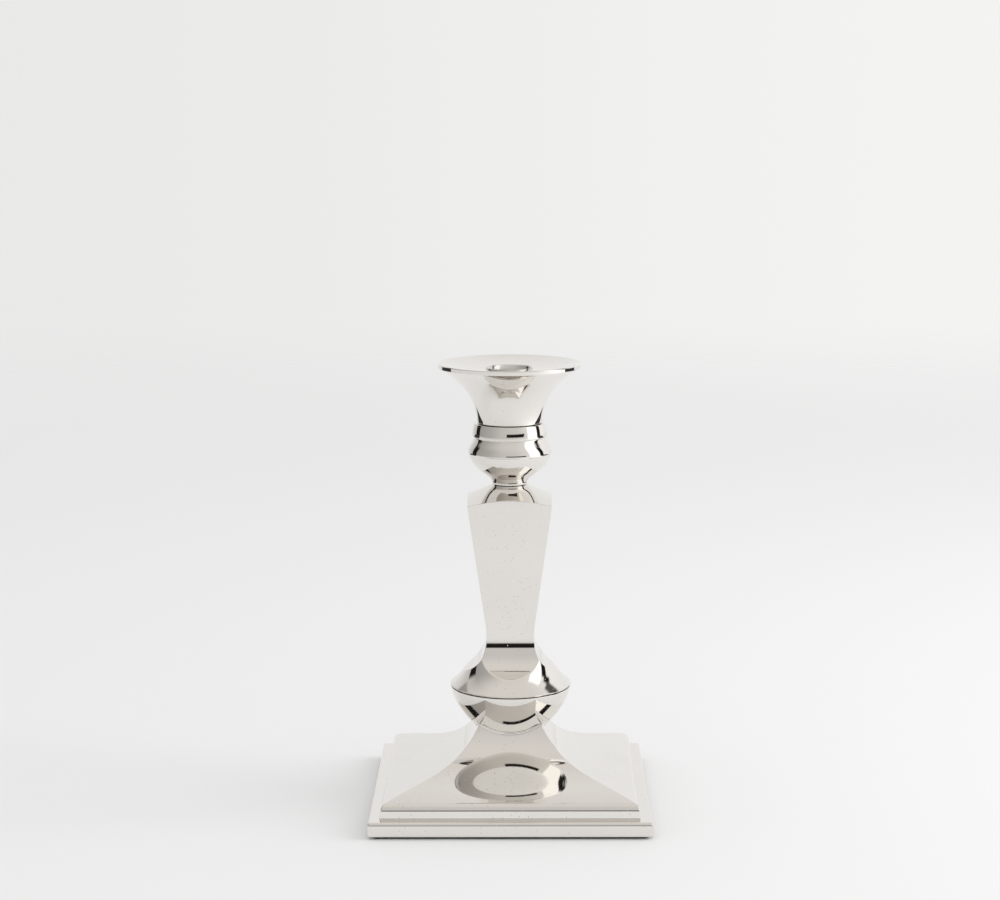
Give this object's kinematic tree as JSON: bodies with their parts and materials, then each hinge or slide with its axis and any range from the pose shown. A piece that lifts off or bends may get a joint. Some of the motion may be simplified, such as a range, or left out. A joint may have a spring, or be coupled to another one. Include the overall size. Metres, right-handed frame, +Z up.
{
  "type": "candlestick",
  "caption": "Polished square-based candlestick: round drip pan on a banded cup, tapering square column, round knop and stepped concave foot.",
  "frame": {"origin": "centre of the felt's underside, on the surface that the candlestick stands on", "axes": "+Z up along the column's axis towards the rim; X and Y run parallel to the sides of the square foot"},
  "size_m": [0.15, 0.15, 0.2428],
  "materials": {
    "polished_nickel": "mirror-polished nickel plate over cast metal, with fine casting pits",
    "plated_liner": "thin plated liner, lightly brushed inside",
    "zinc_steel": "bright zinc-plated steel, dull between the threads",
    "dark_felt": "pressed wool felt, dark green, matt"
  },
  "bodies": {
    "root": {"drip_pan": "polished_nickel", "candle_sleeve": "plated_liner", "candle_cup": "polished_nickel", "column": "polished_nickel", "foot": "polished_nickel", "tie_rod": "zinc_steel", "plain_washer": "zinc_steel", "lock_washer": "zinc_steel", "base_nut": "zinc_steel", "felt_pad": "dark_felt"}
  },
  "joints": []
}
